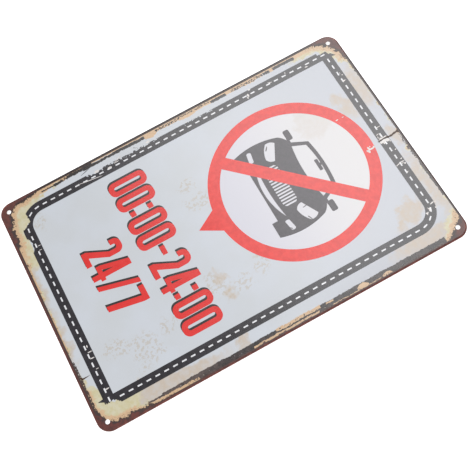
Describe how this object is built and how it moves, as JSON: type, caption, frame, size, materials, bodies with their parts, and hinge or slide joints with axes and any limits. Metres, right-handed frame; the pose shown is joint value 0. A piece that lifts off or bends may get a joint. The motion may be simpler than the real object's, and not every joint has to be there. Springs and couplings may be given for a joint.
{
  "type": "parking sign",
  "caption": "Flat tin wall sign with a rolled edge and four corner screw holes, printed with a barred car in a red ring, a road border and plain figures.",
  "frame": {"origin": "middle of the sheet's footprint, on the surface that its rolled edge rests on", "axes": "+Y towards the sign's top, +X to its right as it is read, +Z out of the printed face"},
  "size_m": [0.2, 0.3, 0.0026],
  "materials": {
    "rusty_tin": "dark rust-brown lacquer on thin tinplate, satin",
    "yellowed_paint": "yellowed, stained cream paint, satin",
    "pale_paint": "pale blue-grey paint, satin, lightly stained",
    "black_ink": "worn black-brown ink, satin",
    "charcoal_ink": "charcoal ink, satin, chipped",
    "white_ink": "white ink, satin",
    "red_ink": "signal red ink, satin",
    "car_ink": "charcoal ink, satin",
    "figure_ink": "signal red ink, satin",
    "shadow_ink": "black ink, satin"
  },
  "bodies": {
    "root": {"sign_plate": "rusty_tin", "weathered_border_print": "yellowed_paint", "pale_field_print": "pale_paint", "frame_line_print": "black_ink", "road_print": "charcoal_ink", "road_dashes_print": "white_ink", "roundel_print": "red_ink", "car_print": "car_ink", "figures_print": "figure_ink", "figure_shadows_print": "shadow_ink"}
  },
  "joints": []
}
